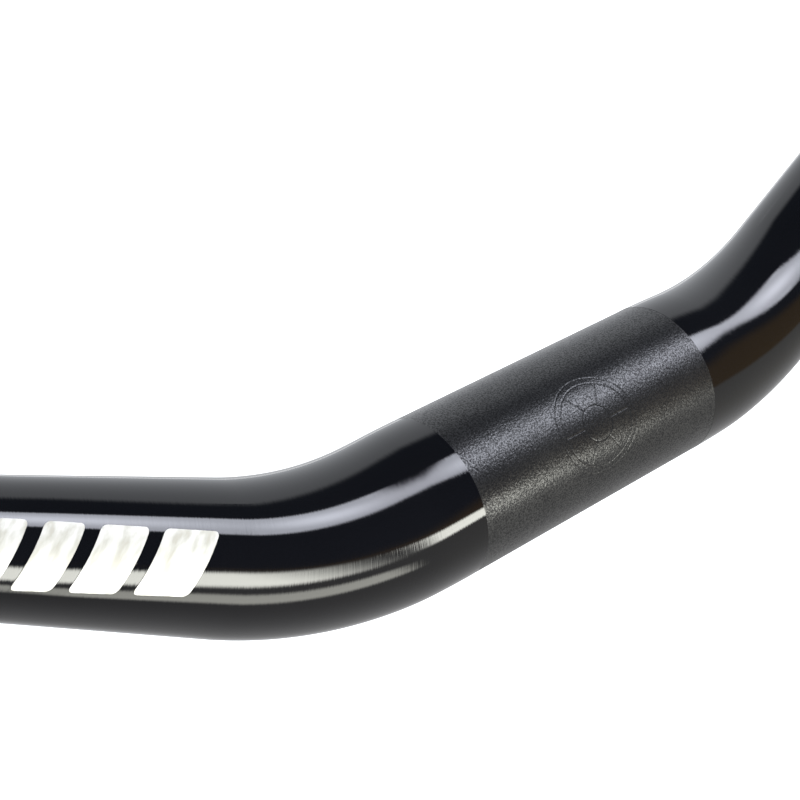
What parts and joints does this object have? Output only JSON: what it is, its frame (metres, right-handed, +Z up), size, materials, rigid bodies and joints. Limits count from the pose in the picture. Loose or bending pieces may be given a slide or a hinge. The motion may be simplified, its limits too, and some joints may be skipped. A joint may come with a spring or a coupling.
{
  "type": "riser handlebar",
  "caption": "Wide riser handlebar with a textured clamp zone, tapering bent arms, swept grip ends, a stripe graphic and push-in end plugs.",
  "frame": {"origin": "centre of the clamp zone, on the tube's axis", "axes": "+X along the bar to its right-hand end as seen from the front, +Y back to the rider, +Z up; the arms rise and the grips sweep back and up"},
  "size_m": [0.7896, 0.0678, 0.0922],
  "materials": {
    "black_tube": "gloss",
    "silver_foil": "satin",
    "black_plastic": "matte"
  },
  "bodies": {
    "bar": {"handlebar_tube": "black_tube", "stripe_graphic": "silver_foil"},
    "left_plug": {"end_plug_left": "black_plastic"},
    "right_plug": {"end_plug_right": "black_plastic"}
  },
  "joints": [
    {"name": "left_plug_pull", "type": "slide", "parent": "bar", "child": "left_plug", "axis": [-0.9866, 0.1387, 0.0863], "range_m": [0, 0.024]},
    {"name": "right_plug_pull", "type": "slide", "parent": "bar", "child": "right_plug", "axis": [0.9866, 0.1387, 0.0863], "range_m": [0, 0.024]}
  ]
}
